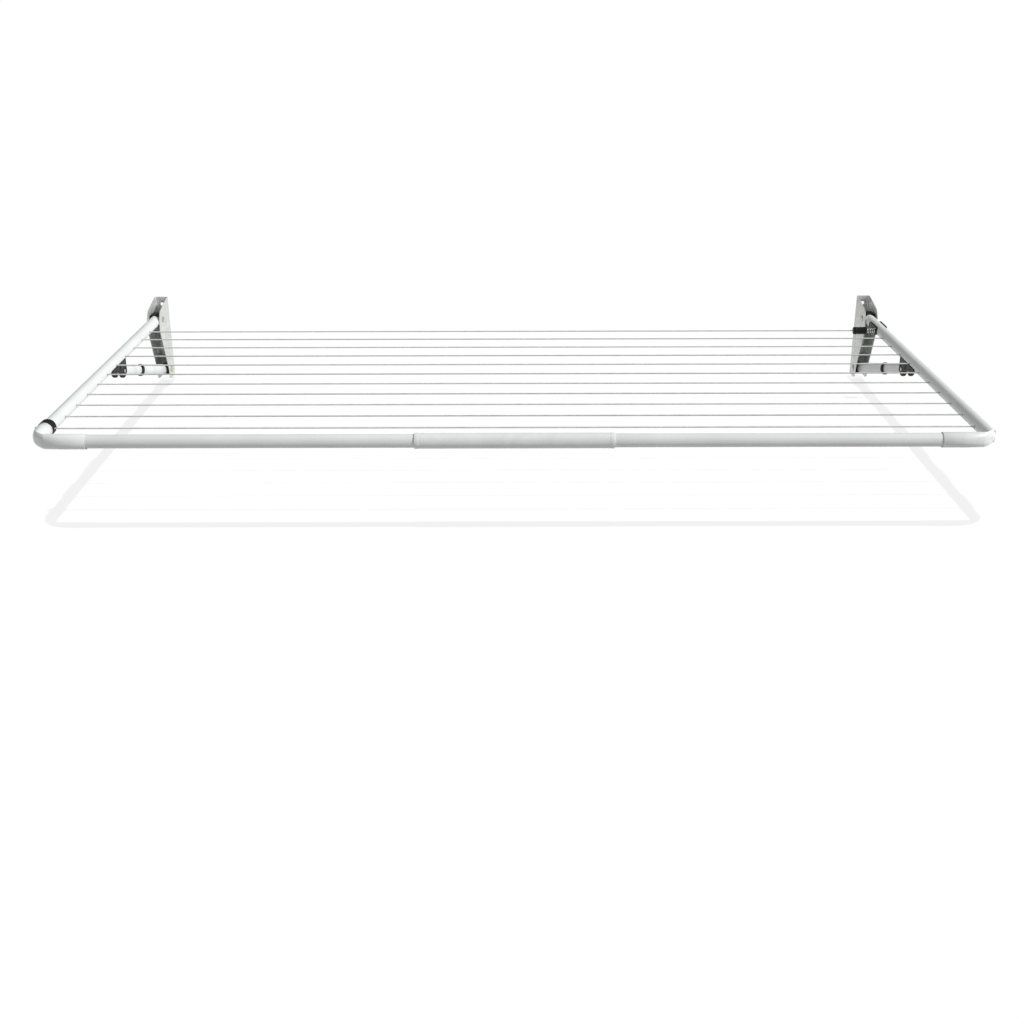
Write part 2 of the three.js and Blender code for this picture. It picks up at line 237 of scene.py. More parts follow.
def turned(name: str, profile: Sequence[Pair], axis: Axis, at: Vector = Vector(),
           sides: int = ROUND) -> bpy.types.Object:
    """Turns a closed profile about an axis.

    Args:
        name: The object's name.
        profile: Pairs of radius and distance along the axis, which join up at their ends.
        axis: The direction of the axis.
        at: A point that the axis starts from.
        sides: Facets round the axis.

    Returns:
        The turned body.
    """
    loops = []
    for radius, along in profile:
        angles = (math.tau * (i + 0.5) / sides for i in range(sides))
        loops.append([at + lay(axis, along, radius * math.cos(a), radius * math.sin(a)) for a in angles])
    return loft(name, loops, closed=True)


def bar(name: str, radius: float, low: float, high: float, axis: Axis, at: Vector = Vector(),
        sides: int = ROUND) -> bpy.types.Object:
    """Makes a plain round bar, used to join or to cut."""
    return turned(name, [(0, low), (radius, low), (radius, high), (0, high)], axis, at, sides)


def pipe_profile(outer: float, inner: float, low: float, high: float, ease: float = 0.4) -> list[Pair]:
    """Gives the profile of a tube whose outer ends are eased."""
    return eased([(inner, low, 0), (outer, low, ease), (outer, high, ease), (inner, high, 0)])


def eased(corners: Sequence[tuple[float, float, float]], steps: int = 5) -> list[Pair]:
    """Rounds the corners of a closed outline.

    Args:
        corners: Triples of both coordinates and the length of each side that the rounding takes.
        steps: Pieces in each rounding.

    Returns:
        The rounded outline.
    """
    made: list[Pair] = []
    count = len(corners)
    for i, (a, b, rounding) in enumerate(corners):
        here = Vector((a, b))
        if rounding <= 0:
            made.append((a, b))
            continue
        ends = []
        for other in (corners[i - 1], corners[(i + 1) % count]):
            ends.append(here + (Vector(other[:2]) - here).normalized() * rounding)
        for step in range(steps + 1):
            t = step / steps
            point = ends[0] * (1 - t) ** 2 + here * 2 * t * (1 - t) + ends[1] * t ** 2
            made.append((point.x, point.y))
    return made


def oval(back: float, front: float, half: float, steps: int = 16) -> list[Pair]:
    """Gives the outline of a long hole with round ends, from the Y of its back to that of its front."""
    made = []
    for centre, start in ((back - half, -math.pi / 2), (front + half, math.pi / 2)):
        for step in range(steps + 1):
            angle = start + math.pi * step / steps
            made.append((centre + half * math.cos(angle), half * math.sin(angle)))
    return made


def prism(name: str, outline: Sequence[Pair], low: float, high: float, axis: Axis,
          at: Vector = Vector()) -> bpy.types.Object:
    """Gives a flat outline thickness along an axis."""
    loops = [[at + lay(axis, along, a, b) for a, b in outline] for along in (low, high)]
    return loft(name, loops)


def block(name: str, low: Sequence[float], high: Sequence[float]) -> bpy.types.Object:
    """Makes a plain block between two corners, used to join or to cut."""
    outline = [(low[1], low[2]), (high[1], low[2]), (high[1], high[2]), (low[1], high[2])]
    return prism(name, outline, low[0], high[0], Axis.X)


def swept(name: str, path: Sequence[Vector], radius: float, sides: int = 12) -> bpy.types.Object:
    """Runs a round section along a path.

    Args:
        name: The object's name.
        path: The points of the centre line.
        radius: The section's radius.
        sides: Facets round the section.

    Returns:
        The round wire, closed at both ends.
    """
    loops = []
    across = (path[1] - path[0]).orthogonal().normalized()
    for i, point in enumerate(path):
        before = path[max(i - 1, 0)]
        after = path[min(i + 1, len(path) - 1)]
        tangent = ((point - before).normalized() + (after - point).normalized()).normalized()
        across = (across - tangent * across.dot(tangent)).normalized()
        other = tangent.cross(across)
        angles = (math.tau * k / sides for k in range(sides))
        loops.append([point + (across * math.cos(a) + other * math.sin(a)) * radius for a in angles])
    return loft(name, loops)


def narrowed(made: bpy.types.Object, less: float) -> bpy.types.Object:
    """Turns a round form along Y from the origin into an upright oval one of the same height.

    Args:
        made: The form.
        less: How much half its width falls short of half its height.

    Returns:
        The form.
    """
    for vertex in made.data.vertices:
        radius = math.hypot(vertex.co.x, vertex.co.z)
        if radius > less * MM:
            vertex.co.x *= (radius - less * MM) / radius
    return made


def settle(made: bpy.types.Object) -> bpy.types.Object:
    """Applies an object's modifiers to its mesh."""
    depsgraph = bpy.context.evaluated_depsgraph_get()
    fresh = bpy.data.meshes.new_from_object(made.evaluated_get(depsgraph))
    old = made.data
    made.modifiers.clear()
    made.data = fresh
    bpy.data.meshes.remove(old)
    return made


class Joining(Enum):
    """What a tool body does to a work piece."""

    CUT = "DIFFERENCE"
    ADD = "UNION"
    MEET = "INTERSECT"


def work(made: bpy.types.Object, how: Joining, *tools: bpy.types.Object) -> bpy.types.Object:
    """Cuts, joins or trims a work piece with other bodies, which are used up.

    Args:
        made: The work piece.
        how: What the tools do.
        tools: The other bodies, one after the other.

    Returns:
        The work piece.
    """
    for tool in tools:
        step = made.modifiers.new("step", "BOOLEAN")
        step.operation = how.value
        step.solver = "EXACT"
        step.object = tool
    settle(made)
    for tool in tools:
        bpy.data.objects.remove(tool)
    return made


def ease_edges(made: bpy.types.Object, width: float, steps: int = 2, angle: float = 40) -> bpy.types.Object:
    """Breaks the sharp edges of a piece.

    Args:
        made: The piece.
        width: The width of the broken edge.
        steps: Facets across it.
        angle: Edges sharper than this many degrees are broken.

    Returns:
        The piece.
    """
    bevel = made.modifiers.new("edges", "BEVEL")
    bevel.width = width * MM
    bevel.segments = steps
    bevel.limit_method = "ANGLE"
    bevel.angle_limit = math.radians(angle)
    bevel.use_clamp_overlap = True
    bevel.miter_outer = "MITER_ARC"
    return settle(made)


def smooth(made: bpy.types.Object, angle: float = 38) -> bpy.types.Object:
    """Shades a piece smooth, but for edges sharper than an angle in degrees."""
    for face in made.data.polygons:
        face.use_smooth = True
    made.data.set_sharp_from_angle(angle=math.radians(angle))
    return made


def round_shading(made: bpy.types.Object, x: float) -> bpy.types.Object:
    """Gives a drilled tube along Y the exact normals of its round walls.

    Args:
        made: The tube.
        x: The X of its axis, whose Z is 0.

    Returns:
        The tube.
    """
    nearly = 0.95
    normals: list[Vector] = []
    for face in made.data.polygons:
        face.use_smooth = True
        for index in face.vertices:
            point = made.data.vertices[index].co
            radial = Vector((point.x - x * MM, 0, point.z)).normalized()
            facing = face.normal.dot(radial)
            normals.append(radial * math.copysign(1, facing) if abs(facing) > nearly else face.normal.copy())
    made.data.normals_split_custom_set(normals)
    return made


# ---------------------------------------------------------------- finishes


def tint(code: str) -> tuple[float, float, float, float]:
    """Turns an sRGB hex colour such as "#c0c0c0" into a linear one."""
    parts = [int(code[i:i + 2], 16) / 255 for i in (1, 3, 5)]
    linear = [part / 12.92 if part <= 0.04045 else ((part + 0.055) / 1.055) ** 2.4 for part in parts]
    return (*linear, 1.0)


def add_node(tree: bpy.types.NodeTree, kind: str, inputs: dict[str | int, Any] | None = None,
             **settings: Any) -> bpy.types.Node:
    """Adds one node.

    Args:
        tree: The tree that it goes in.
        kind: The node's type, without its "ShaderNode".
        inputs: A value, or an output to link, for each named or numbered input.
        settings: The node's own settings.

    Returns:
        The new node.
    """
    node = tree.nodes.new("ShaderNode" + kind)
    for name, value in settings.items():
        setattr(node, name, value)
    for name, value in (inputs or {}).items():
        if isinstance(value, bpy.types.NodeSocket):
            tree.links.new(value, node.inputs[name])
        else:
            node.inputs[name].default_value = value
    return node


def per_metre(size: float) -> float:
    """Turns the size of a pattern in millimetres into a texture's scale."""
    return 1 / (size * MM)


MIX_FACTOR, MIX_A, MIX_B, MIX_RESULT = 0, 6, 7, 2  # sockets of a Mix node that mixes colours


@dataclass(frozen=True)
class Finish:
    """A surface, from what it is made of and how it was made.

    The base class is a surface that is even but for slow clouds of tone and a fine grain.
    """

    name: str
    light: str
    dark: str
    gloss: Pair
    metallic: float = 0.0
    cloud: float = 90.0
    grain: float = 2.5
    relief: float = 0.05
    coat: float = 0.0
    ior: float | None = None
    sheen: float = 0.5

    def build(self) -> bpy.types.Material:
        """Makes the material.

        Returns:
            A material with colour, roughness and relief from its nodes.
        """
        material = bpy.data.materials.new(self.name)
        material.use_nodes = True
        tree = material.node_tree
        tree.nodes.clear()
        place = add_node(tree, "TexCoord").outputs["Object"]
        tone, relief = self.pattern(tree, place)
        colour = add_node(tree, "Mix", {MIX_FACTOR: tone, MIX_A: tint(self.light), MIX_B: tint(self.dark)},
                          data_type="RGBA")
        rough = add_node(tree, "MapRange", {"Value": relief, "To Min": self.gloss[0], "To Max": self.gloss[1]})
        bump = add_node(tree, "Bump", {"Height": relief, "Strength": 0.6, "Distance": self.relief * MM})
        shader = add_node(tree, "BsdfPrincipled", {
            "Base Color": colour.outputs[MIX_RESULT], "Roughness": rough.outputs["Result"],
            "Normal": bump.outputs["Normal"], "Metallic": self.metallic, "Coat Weight": self.coat,
            "Specular IOR Level": self.sheen})
        if self.ior is not None:
            shader.inputs["IOR"].default_value = self.ior
        add_node(tree, "OutputMaterial", {"Surface": shader.outputs["BSDF"]})
        return material

    def pattern(self, tree: bpy.types.NodeTree, place: bpy.types.NodeSocket
                ) -> tuple[bpy.types.NodeSocket, bpy.types.NodeSocket]:
        """Draws the surface's pattern.

        Args:
            tree: The material's nodes.
            place: The position on the piece.

        Returns:
            The tone from light to dark, and the relief, both from 0 to 1.
        """
        cloud = add_node(tree, "TexNoise", {"Vector": place, "Scale": per_metre(self.cloud), "Detail": 3.0})
        grain = add_node(tree, "TexNoise", {"Vector": place, "Scale": per_metre(self.grain), "Detail": 4.0})
        tone = add_node(tree, "MapRange", {"Value": cloud.outputs["Fac"], "From Min": 0.35, "From Max": 0.65})
        return tone.outputs["Result"], grain.outputs["Fac"]


@dataclass(frozen=True)
class GalvanisedSheet(Finish):
    """Hot-dipped zinc on folded sheet: soft-edged crystals a few millimetres across, and drawn streaks."""

    crystal: float = 9.0
    streak: float = 1.2

    def pattern(self, tree: bpy.types.NodeTree, place: bpy.types.NodeSocket
                ) -> tuple[bpy.types.NodeSocket, bpy.types.NodeSocket]:
        """Draws crystals and upright streaks. See Finish.pattern."""
        bent = add_node(tree, "TexNoise", {"Vector": place, "Scale": per_metre(self.crystal), "Detail": 2.0})
        shifted = add_node(tree, "VectorMath", {0: bent.outputs["Color"], 1: (0.006, 0.006, 0.006)},
                           operation="MULTIPLY")
        wander = add_node(tree, "VectorMath", {0: place, 1: shifted.outputs["Vector"]}, operation="ADD")
        crystals = add_node(tree, "TexVoronoi",
                            {"Vector": wander.outputs["Vector"], "Scale": per_metre(self.crystal)})
        value = add_node(tree, "RGBToBW", {"Color": crystals.outputs["Color"]})
        drawn = add_node(tree, "Mapping", {"Vector": place, "Scale": (1.0, 1.0, 0.04)})
        streaks = add_node(tree, "TexNoise", {"Vector": drawn.outputs["Vector"],
                                              "Scale": per_metre(self.streak), "Detail": 3.0})
        both = add_node(tree, "Math", {0: value.outputs["Val"], 1: streaks.outputs["Fac"]}, operation="MULTIPLY")
        tone = add_node(tree, "MapRange", {"Value": both.outputs["Value"], "From Min": 0.1, "From Max": 0.5})
        return tone.outputs["Result"], both.outputs["Value"]


@dataclass(frozen=True)
class MouldedNylon(Finish):
    """Injection-moulded nylon: spark-eroded grain with pale flow marks, and a worn sheen on the high spots."""

    fleck: float = 0.9

    def pattern(self, tree: bpy.types.NodeTree, place: bpy.types.NodeSocket
                ) -> tuple[bpy.types.NodeSocket, bpy.types.NodeSocket]:
        """Draws flow marks and eroded grain. See Finish.pattern."""
        flow = add_node(tree, "TexNoise", {"Vector": place, "Scale": per_metre(self.cloud), "Detail": 5.0,
                                           "Distortion": 1.2})
        pits = add_node(tree, "TexVoronoi", {"Vector": place, "Scale": per_metre(self.fleck)},
                        feature="SMOOTH_F1")
        grain = add_node(tree, "TexNoise", {"Vector": place, "Scale": per_metre(self.grain), "Detail": 3.0})
        relief = add_node(tree, "Math", {0: pits.outputs["Distance"], 1: grain.outputs["Fac"]},
                          operation="MULTIPLY")
        tone = add_node(tree, "MapRange", {"Value": flow.outputs["Fac"], "From Min": 0.35, "From Max": 0.7})
        return tone.outputs["Result"], relief.outputs["Value"]


@dataclass(frozen=True)
class PassivatedZinc(Finish):
    """Yellow-passivated zinc on a turned or pressed steel part: straw and grey patches."""

    def pattern(self, tree: bpy.types.NodeTree, place: bpy.types.NodeSocket
                ) -> tuple[bpy.types.NodeSocket, bpy.types.NodeSocket]:
        """Draws patches of passivation and fine turning marks. See Finish.pattern."""
        patch = add_node(tree, "TexNoise", {"Vector": place, "Scale": per_metre(self.cloud), "Detail": 4.0,
                                            "Distortion": 2.0})
        marks = add_node(tree, "TexNoise", {"Vector": place, "Scale": per_metre(self.grain), "Detail": 6.0})
        tone = add_node(tree, "MapRange", {"Value": patch.outputs["Fac"], "From Min": 0.4, "From Max": 0.6})
        return tone.outputs["Result"], marks.outputs["Fac"]


# Powder coat on steel tube: a cool off-white with a satin sheen. Real orange peel is about 1.5 mm across and
# is drawn at 3 mm so that it still shows.
POWDER_COAT = Finish("powder_coated_steel", "#eef1f0", "#e6eae8", (0.34, 0.5), cloud=140, grain=3.0,
                     relief=0.05, coat=0.15, ior=1.5)
# Folded galvanised sheet: grey, dull and faintly mottled. The zinc has weathered to a chalky grey skin, so it is
# only part metallic.
GALVANISED = GalvanisedSheet("galvanised_sheet_steel", "#e0e2df", "#c8cbc8", (0.4, 0.6), metallic=0.5,
                             relief=0.03)
# Glass-filled black nylon, moulded: almost black, with the dry, weak sheen of an eroded mould.
BLACK_NYLON = MouldedNylon("moulded_black_nylon", "#0a0b0c", "#131516", (0.5, 0.72), cloud=14, grain=1.6,
                           relief=0.06, ior=1.53, sheen=0.22)
# White nylon mouldings that match the coated tubes, a little smoother.
WHITE_NYLON = MouldedNylon("moulded_white_nylon", "#f0f3f2", "#e8ecea", (0.3, 0.42), cloud=40, grain=2.0,
                           relief=0.03, ior=1.53)
# Vinyl skin over a woven core: pale grey, half gloss.
CORD_VINYL = Finish("vinyl_covered_cord", "#dedfde", "#cfd1d0", (0.38, 0.55), cloud=30, grain=1.2,
                    relief=0.08, ior=1.5)
# Drawn spring wire, bright.
SPRING_STEEL = Finish("drawn_spring_steel", "#d9dad7", "#b5b6b3", (0.2, 0.36), metallic=1.0, cloud=6,
                      grain=0.8, relief=0.02)
# Yellow zinc plate on pins and tongues.
ZINC_PLATE = PassivatedZinc("yellow_passivated_zinc", "#c6c2a8", "#b6b4a6", (0.26, 0.46), metallic=1.0,
                            cloud=7, grain=0.9, relief=0.02)
SLOTS = {"powder_coat": POWDER_COAT, "galvanised": GALVANISED, "black_nylon": BLACK_NYLON,
         "white_nylon": WHITE_NYLON, "cord_vinyl": CORD_VINYL, "spring_steel": SPRING_STEEL,
         "zinc_plate": ZINC_PLATE}


class Shop:
    """Keeps the made materials, and finishes and hands over each piece."""

    def __init__(self) -> None:
        """Builds every finish once."""
        self.materials = {slot: finish.build() for slot, finish in SLOTS.items()}

    def deliver(self, made: bpy.types.Object, body: str, slot: str, *nodes: str) -> bpy.types.Object:
        """Dresses a piece, hangs it on its body and lets it stand for CAD nodes.

        Args:
            made: The piece.
            body: The CAD body that it moves with.
            slot: The record's material slot.
            nodes: The CAD nodes that it stands for.

        Returns:
            The piece.
        """
        made.data.materials.clear()
        made.data.materials.append(self.materials[slot])
        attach(made, body)
        if nodes:
            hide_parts(*nodes)
        LOG.info("%s: %d faces on %s", made.name, len(made.data.polygons), body)
        return made


# ---------------------------------------------------------------- wall brackets


@dataclass
class Bracket:
    """A channel folded from sheet, with a web on the wall and two cheeks that hold the pins."""

    layout: Layout
    hand: Hand
    half: float = 19.5
    sheet: float = 1.6
    bend: float = 3.0
    pin_hole: float = 5.3
    anchor_hole: float = 5.5
    anchors: tuple[float, float] = (30.0, -125.0)
    web_end: float = -184.0
    profile: tuple[tuple[float, float, float], ...] = (
        (0, 53, 1), (-16, 53, 5), (-118, 30, 22), (-131, -20, 26), (-66, -168, 24), (-64, -198, 18),
        (0, -198, 16))

    def build(self, shop: Shop) -> None:
        """Makes the channel and both pins."""
        x = self.layout.arm(self.hand)
        inner = self.half - self.sheet
        reach = -140.0
        channel = prism(f"wall_bracket_{self.hand.word}", eased([
            (-self.half, reach, 0), (-self.half, 0, self.bend), (self.half, 0, self.bend),
            (self.half, reach, 0), (inner, reach, 0), (inner, -self.sheet, self.bend - self.sheet),
            (-inner, -self.sheet, self.bend - self.sheet), (-inner, reach, 0)]), -220, 70, Axis.Z,
            Vector((x, 0, 0)))
        side = prism("side", eased(self.profile, steps=8), x - 30, x + 30, Axis.X)
        work(channel, Joining.MEET, side)
        tools = [block("web", (x - inner, -60, -230), (x + inner, 5, self.web_end))]
        for place in (self.layout.fold, self.layout.heel):
            tools.append(bar("hole", self.pin_hole, x - 30, x + 30, Axis.X, Vector((0, place.y, place.z)), 40))
        for z in self.anchors:
            tools.append(bar("hole", self.anchor_hole, -10, 10, Axis.Y, Vector((x, 0, z)), 40))
        work(channel, Joining.CUT, *tools)
        smooth(ease_edges(channel, 0.35, 2, 50), 30)
        shop.deliver(channel, "wall_brackets", "galvanised", f"bracket_{self.hand.word}")
        self.pin(shop, f"arm_pin_{self.hand.word}", self.layout.fold)
        self.pin(shop, f"stay_pin_{self.hand.word}", self.layout.heel)

    def pin(self, shop: Shop, node: str, place: Vector) -> None:
        """Makes one pin with a domed head, a washer face and a clinched end.

        Args:
            shop: Where it is finished.
            node: The CAD node that it stands for.
            place: A point on its axis.
        """
        face = self.half + GAP
        side = self.hand.value
        corners = [(0, -face - 1.6, 0), (2.2, -face - 1.6, 0.5), (2.9, -face - 2.7, 0.5),
                   (7.4, -face - 2.4, 1.4), (9, -face - 1.1, 0.6), (9, -face, 0.2), (5, -face, 0),
                   (5, face, 0), (7, face, 0.2), (6.6, face + 1.6, 0.9), (2.6, face + 1.6, 0.4),
                   (1.6, face + 0.9, 0.3), (0, face + 0.9, 0)]
        profile = [(r, along * side) for r, along in eased(corners)]
        at = Vector((self.layout.arm(self.hand), place.y, place.z))
        made = smooth(turned("pivot_" + node, profile, Axis.X, at, 48))
        shop.deliver(made, "wall_brackets", "zinc_plate", node)


def pivot_eye(name: str, mouth: float, tail: float, at: Vector, plug: bpy.types.Object) -> bpy.types.Object:
    """Makes the moulded eye at the wall end of an arm or a stay, lying along -Y.

    Args:
        name: The object's name.
        mouth: The Y of the tube's mouth, from the pin.
        tail: How far the eye runs on behind the pin before it rounds off.
        at: The pin's centre.
        plug: The part that fills the tube's mouth, which is used up.

    Returns:
        The eye, with eased edges, a boss round the pin and the plug.
    """
    radius, half, across, boss, bore = 18.7, 15.5, 22.0, 9.5, 5.3
    steps = 24
    outline = [(mouth + GAP, -radius), (tail, -radius)]
    outline += [(tail + radius * math.sin(a), -radius * math.cos(a)) for a in
                (math.pi * i / steps for i in range(1, steps))]
    outline += [(tail, radius), (mouth + GAP, radius)]
    lug = prism(name, outline, at.x - half, at.x + half, Axis.X, Vector((0, at.y, at.z)))
    work(lug, Joining.MEET, bar("round", across, mouth, tail + radius + 1, Axis.Y, at))
    ease_edges(lug, 1.4, 4, 50)
    for side in (-1, 1):
        rim = at.x + side * half
        low, high = sorted((rim - side * 1.1, rim + side * 2))
        ring = turned("ring", [(boss, low), (13.2, low), (13.2, high), (boss, high)], Axis.X,
                      Vector((0, at.y, at.z)), 48)
        work(lug, Joining.CUT, ring)
    work(lug, Joining.ADD, plug)
    work(lug, Joining.CUT, bar("bore", bore, at.x - 30, at.x + 30, Axis.X, Vector((0, at.y, at.z)), 40))
    return smooth(ease_edges(lug, 0.3, 2, 50))


def beyond_bend(layout: Layout) -> bpy.types.Object:
    """Makes the tool that trims the right arm's end to the outer rounding of its corner.

    Args:
        layout: Where the pieces sit.

    Returns:
        A block whose inner side follows the rounding.
    """
    reach = FrontRail.plan - FrontRail.corner_radius
    x, y = layout.arm_x - reach, layout.rail_y + reach
    angles = [math.radians(-55 + 55 * i / 24) for i in range(25)]
    outline = [(x + FrontRail.plan * math.cos(a), y + FrontRail.plan * math.sin(a)) for a in angles]
    outline += [(layout.arm_x + 40, y), (layout.arm_x + 40, outline[0][1])]
    return prism("beyond_bend", outline, -25, 25, Axis.Z)


# ---------------------------------------------------------------- arms


@dataclass
class Arm:
    """A coated tube with cord holes through both walls, a slot underneath and a pivot eye."""

    layout: Layout
    hand: Hand
    wall: float = 1.5
    cord_hole: float = 3.0
    slot_half: float = 4.0
    slider_back: float = -514.0
    slider_front: float = -883.0
    tail: float = 14.0

    def build(self, shop: Shop) -> None:
        """Makes the tube and its eye."""
        word = self.hand.word
        x = self.layout.arm(self.hand)
        low, high = span(f"arm_tube_{word}")
        outer = self.layout.tube
        tube = turned(f"arm_{word}", pipe_profile(outer, outer - self.wall, low.y, high.y), Axis.Y,
                      Vector((x, 0, 0)), 96)
        lines = self.layout.lines[1:] if self.hand is Hand.RIGHT else self.layout.lines
        tools = [bar("hole", self.cord_hole, x - 25, x + 25, Axis.X, Vector((0, y, 0)), 24) for y in lines]
        slot = eased([(x - self.slot_half, self.slider_back, 3.8), (x - self.slot_half, self.slider_front, 3.8),
                      (x + self.slot_half, self.slider_front, 3.8), (x + self.slot_half, self.slider_back, 3.8)])
        tools.append(prism("slot", slot, -25, -9, Axis.Z))
        if self.hand is Hand.RIGHT:
            inner, outer_low = Tensioner.insert_half + GAP, Tensioner.neck_half + GAP
            tools.append(prism("pass", oval(Tensioner.back, Tensioner.front, inner), x - 30, x, Axis.X))
            tools.append(prism("neck", oval(Tensioner.back, Tensioner.front, outer_low), x, x + 30, Axis.X))
            tools.append(beyond_bend(self.layout))
        work(tube, Joining.CUT, *tools)
        shop.deliver(round_shading(tube, x), "frame", "powder_coat", f"arm_tube_{word}")
        at = Vector((x, self.layout.fold.y, self.layout.fold.z))
        mouth = high.y - at.y
        plug = bar("plug", outer - self.wall - GAP, mouth - 30, mouth + 1, Axis.Y, at)
        eye = pivot_eye(f"arm_pivot_eye_{word}", mouth, self.tail, at, plug)
        shop.deliver(eye, "frame", "black_nylon", f"arm_eye_{word}")


# ---------------------------------------------------------------- front rail


@dataclass
class FrontRail:
    """Two tubes joined by a sleeve, with a moulded corner at each end."""

    layout: Layout
    wall: float = 1.5
    corner_radius: float = 18.0
    bore: float = 16.35
    bend: float = 23.0
    rail_end: float = 982.0
    leg_end: float = -1157.0
    plan: float = 80.0
    spigot: float = 14.2
    sleeve_radius: float = 18.5

    def build(self, shop: Shop) -> None:
        """Makes the tubes, the sleeve, both corners and the seal."""
        outer = self.layout.tube
        axis = Vector((0, self.layout.rail_y, 0))
        for hand in Hand:
            low, high = span(f"rail_tube_{hand.word}")
            tube = turned(f"front_rail_{hand.word}", pipe_profile(outer, outer - self.wall, low.x, high.x),
                          Axis.X, axis, 96)
            shop.deliver(smooth(tube), "frame", "powder_coat", f"rail_tube_{hand.word}")
            shop.deliver(self.corner(hand), "frame", "white_nylon", f"corner_{hand.word}")
        shop.deliver(self.sleeve(axis), "frame", "white_nylon", "rail_sleeve")
        shop.deliver(self.seal(), "frame", "black_nylon", "corner_seal_left")

    def sleeve(self, axis: Vector) -> bpy.types.Object:
        """Makes the joining sleeve, with eased mouths and a shallow band near each end."""
        low, high = span("rail_sleeve")
        full, waist, band = self.sleeve_radius, self.sleeve_radius - 0.45, 9.0
        made = turned("rail_joining_sleeve", eased([
            (self.bore, low.x, 0.5), (full, low.x, 1.0), (full, low.x + band, 0.4),
            (waist, low.x + band + 1.2, 0.4), (waist, high.x - band - 1.2, 0.4), (full, high.x - band, 0.4),
            (full, high.x, 1.0), (self.bore, high.x, 0.5)], steps=4), Axis.X, axis, 96)
        return smooth(made, 30)

    def seal(self) -> bpy.types.Object:
        """Makes the ribbed ring round the left arm, drilled for the last cord."""
        low, high = span("corner_seal_left")
        outer, groove, bore = 19.4, 18.5, 16.3
        ribs: list[tuple[float, float, float]] = [(bore, low.y, 0.2)]
        count = 4
        pitch = (high.y - low.y) / count
        for i in range(count):
            start = low.y + pitch * i
            ribs += [(outer, start + 0.1, 0.7), (outer, start + pitch - 1.3, 0.5)]
            if i < count - 1:
                ribs += [(groove, start + pitch - 0.9, 0.2), (groove, start + pitch - 0.3, 0.2)]
        ribs += [(outer, high.y, 0.5), (bore, high.y, 0.2)]
        x = self.layout.arm(Hand.LEFT)
        made = turned("corner_seal_ring_left", eased(ribs, steps=3), Axis.Y, Vector((x, 0, 0)), 80)
        work(made, Joining.CUT, bar("hole", 3, x - 30, x + 30, Axis.X, Vector((0, self.layout.lines[-1], 0)), 24))
        return smooth(made, 35)

    def corner(self, hand: Hand) -> bpy.types.Object:
        """Makes one corner: rail socket, bend, and a socket or a plug for the arm.

        Args:
            hand: Which corner.

        Returns:
            The corner as one moulding.
        """
        side = hand.value
        centre = Vector((side * (self.layout.arm_x - self.bend), self.layout.rail_y + self.bend, 0))
        stations: list[tuple[Vector, Vector, float]] = []

        def station(point: Vector, ahead: Vector, radius: float) -> None:
            """Adds a ring at a point on the centre line."""
            stations.append((point, ahead, radius))

        out = Vector((side, 0, 0))
        back = Vector((0, 1, 0))
        full = self.corner_radius
        gap = self.bore + 0.8
        rail = Vector((0, self.layout.rail_y, 0))
        mouth = ((38, self.bore - 6), (38, self.bore), (3, self.bore), (3, gap), (0, gap), (0, full - 0.4),
                 (0.15, full - 0.1), (0.4, full), (60, full))
        for inset, radius in mouth:
            station(rail + out * (self.rail_end + inset), out, radius)
        steps = 28
        for i in range(steps + 1):
            angle = math.pi / 2 * i / steps
            away = Vector((side * math.sin(angle), -math.cos(angle), 0))
            ahead = Vector((side * math.cos(angle), math.sin(angle), 0))
            station(centre + away * self.bend, ahead, full)
        leg = Vector((self.layout.arm(hand), 0, 0))
        if hand is Hand.LEFT:
            end = ((30, full), (0.8, full), (0.2, full - 0.3), (0, full - 0.8), (0, self.bore),
                   (20, self.bore), (20, self.bore - 8))
            for inset, radius in end:
                station(leg + back * (self.leg_end - inset), back, radius)
        else:
            for inset in (0, 3, 6, 9, 12, 15, 18, 21, 31):
                station(leg + back * (centre.y + inset), back, self.spigot)
            station(leg + back * (centre.y + 32), back, self.spigot - 1)
        loops = []
        up = Vector((0, 0, 1))
        for point, ahead, radius in stations:
            across = ahead.cross(up)
            angles = (math.tau * k / 72 for k in range(72))
            loops.append([point + (across * math.cos(a) + up * math.sin(a)) * radius for a in angles])
        made = loft(f"corner_moulding_{hand.word}", loops)
        self.round_off(made, side)
        return smooth(made, 40)

    def round_off(self, made: bpy.types.Object, side: int) -> None:
        """Rounds the outside of the bend more widely than its inside, and eases the flat that this leaves.

        Args:
            made: The corner.
            side: The sign of X.
        """
        reach = self.plan - self.corner_radius
        x, y = side * (self.layout.arm_x - reach), self.layout.rail_y + reach
        ease, power = 7.0, 3
        for vertex in made.data.vertices:
            across, along = vertex.co.x / MM - x, vertex.co.y / MM - y
            if across * side < 0 or along > 0:
                continue
            off_axis = math.hypot(vertex.co.x / MM - side * self.layout.arm_x, vertex.co.z / MM)
            behind = vertex.co.y / MM > self.layout.rail_y + self.bend - 0.1
            limit = self.plan
            if off_axis > self.spigot + 0.1 or not behind:
                limit -= ease * (abs(vertex.co.z) / MM / self.corner_radius) ** power
            distance = math.hypot(across, along)
            if distance > limit:
                vertex.co.x = (x + across * limit / distance) * MM
                vertex.co.y = (y + along * limit / distance) * MM
        self.sink_mark(made, Vector((x, y, 0)), side)

    def sink_mark(self, made: bpy.types.Object, centre: Vector, side: int) -> None:
        """Presses the shallow hollow that the mould leaves on the outside of the bend.

        Args:
            made: The corner.
            centre: The centre of the outer rounding.
            side: The sign of X.
        """
        reach, depth, lean = 11.0, 1.8, -4.0
        away = Vector((side, -1, 0)).normalized()
        target = centre + away * self.plan + Vector((0, 0, lean))
        for vertex in made.data.vertices:
            distance = (vertex.co / MM - target).length / reach
            if distance < 1:
                fall = (1 - distance ** 2) ** 2
                vertex.co -= away * depth * fall * MM


# ---------------------------------------------------------------- cord


